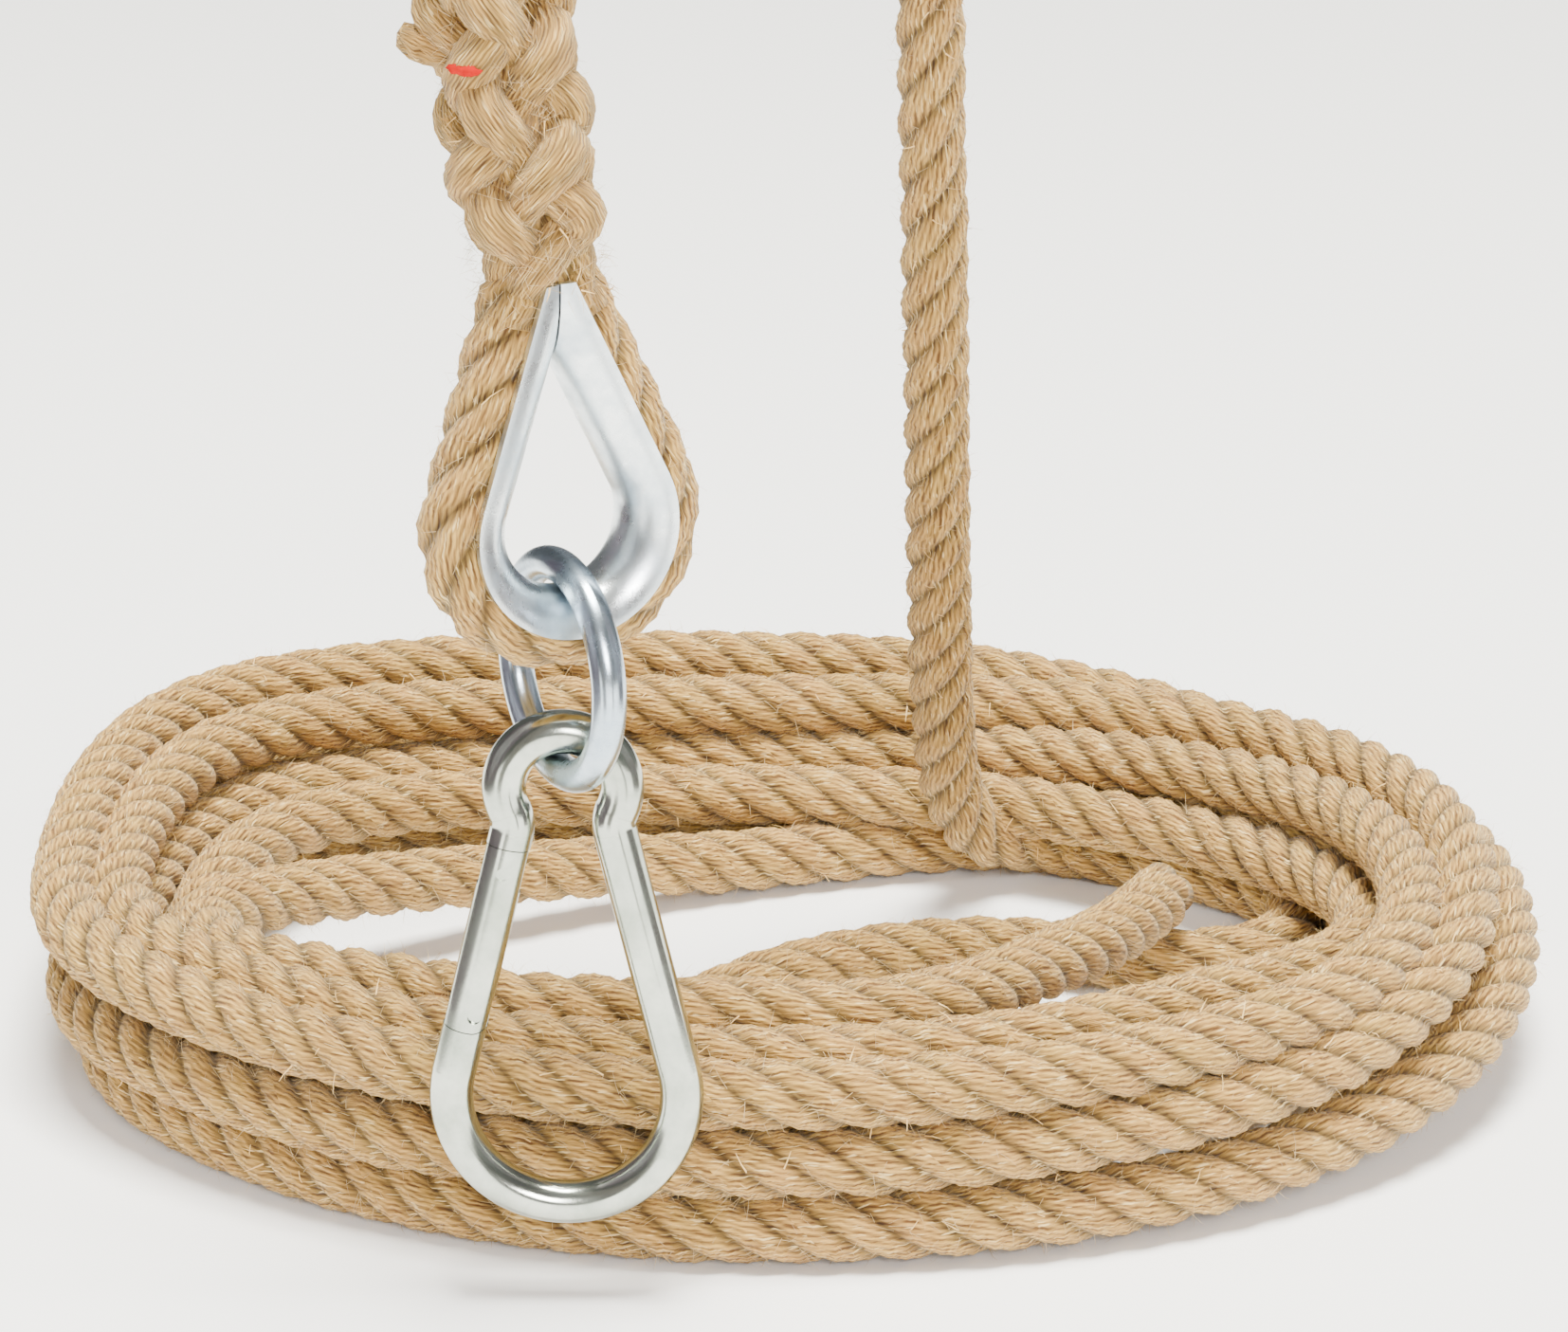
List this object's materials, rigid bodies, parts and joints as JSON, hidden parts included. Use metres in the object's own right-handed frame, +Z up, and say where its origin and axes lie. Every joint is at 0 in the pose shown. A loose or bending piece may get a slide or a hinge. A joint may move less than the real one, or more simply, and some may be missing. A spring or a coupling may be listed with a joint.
{
  "type": "swing suspension rope",
  "caption": "Coiled natural-fibre swing rope with a spliced thimble eye, a welded ring and a snap hook, its bight held by a ceiling hook.",
  "frame": {"origin": "on the floor under the middle of the whole part's box", "axes": "+Z up, +X along the coil's long side to the right as seen from the front, -Y towards the front where the eye hangs"},
  "size_m": [0.5, 0.4584, 0.6079],
  "materials": {
    "hemp": "hairy laid natural fibre",
    "red_yarn": "matt yarn",
    "galvanised": "satin bluish zinc plating",
    "bright_zinc": "bright zinc plating",
    "spring_steel": "drawn wire"
  },
  "bodies": {
    "root": {"rope_coil": "hemp", "rope_inner_run": "hemp", "rope_riser": "hemp", "rope_arch": "hemp", "rope_splice": "hemp", "splice_strand_ends": "hemp", "marker_yarn": "red_yarn", "rope_eye": "hemp", "rope_tail": "hemp", "thimble": "galvanised", "ceiling_plate": "galvanised", "swing_hook": "galvanised", "hook_lock_nut": "galvanised"},
    "ring": {"swing_ring": "galvanised"},
    "snap_hook": {"carabiner_body": "bright_zinc", "gate_rivet": "bright_zinc"},
    "gate": {"carabiner_gate": "bright_zinc", "latch_pin": "bright_zinc", "gate_spring": "spring_steel"},
    "plunger": {"gate_plunger": "spring_steel"}
  },
  "joints": [
    {"name": "ring_swing", "type": "hinge", "parent": "root", "child": "ring", "pos_m": [-0.064, -0.1966, 0.2085], "axis": [-0.8829, -0.4695, 0], "range_deg": [0, 60]},
    {"name": "snap_hook_swing", "type": "hinge", "parent": "ring", "child": "snap_hook", "pos_m": [-0.064, -0.1966, 0.1656], "axis": [0, 1, 0], "range_deg": [-12, 12]},
    {"name": "gate_hinge", "type": "hinge", "parent": "snap_hook", "child": "gate", "pos_m": [-0.09048, -0.1966, 0.09129], "axis": [0, 1, 0], "range_deg": [0, 24], "stiffness_Nm_per_rad": 0.3, "springref_deg": -17.19},
    {"name": "plunger_slide", "type": "slide", "parent": "gate", "child": "plunger", "axis": [0.2358, 0, 0.9718], "range_m": [0, 0.0014], "deforming": ["gate_spring"]}
  ],
  "couplings": [
    {"joint": "plunger_slide", "follows": "gate_hinge", "m_per_rad": 0.00334}
  ]
}
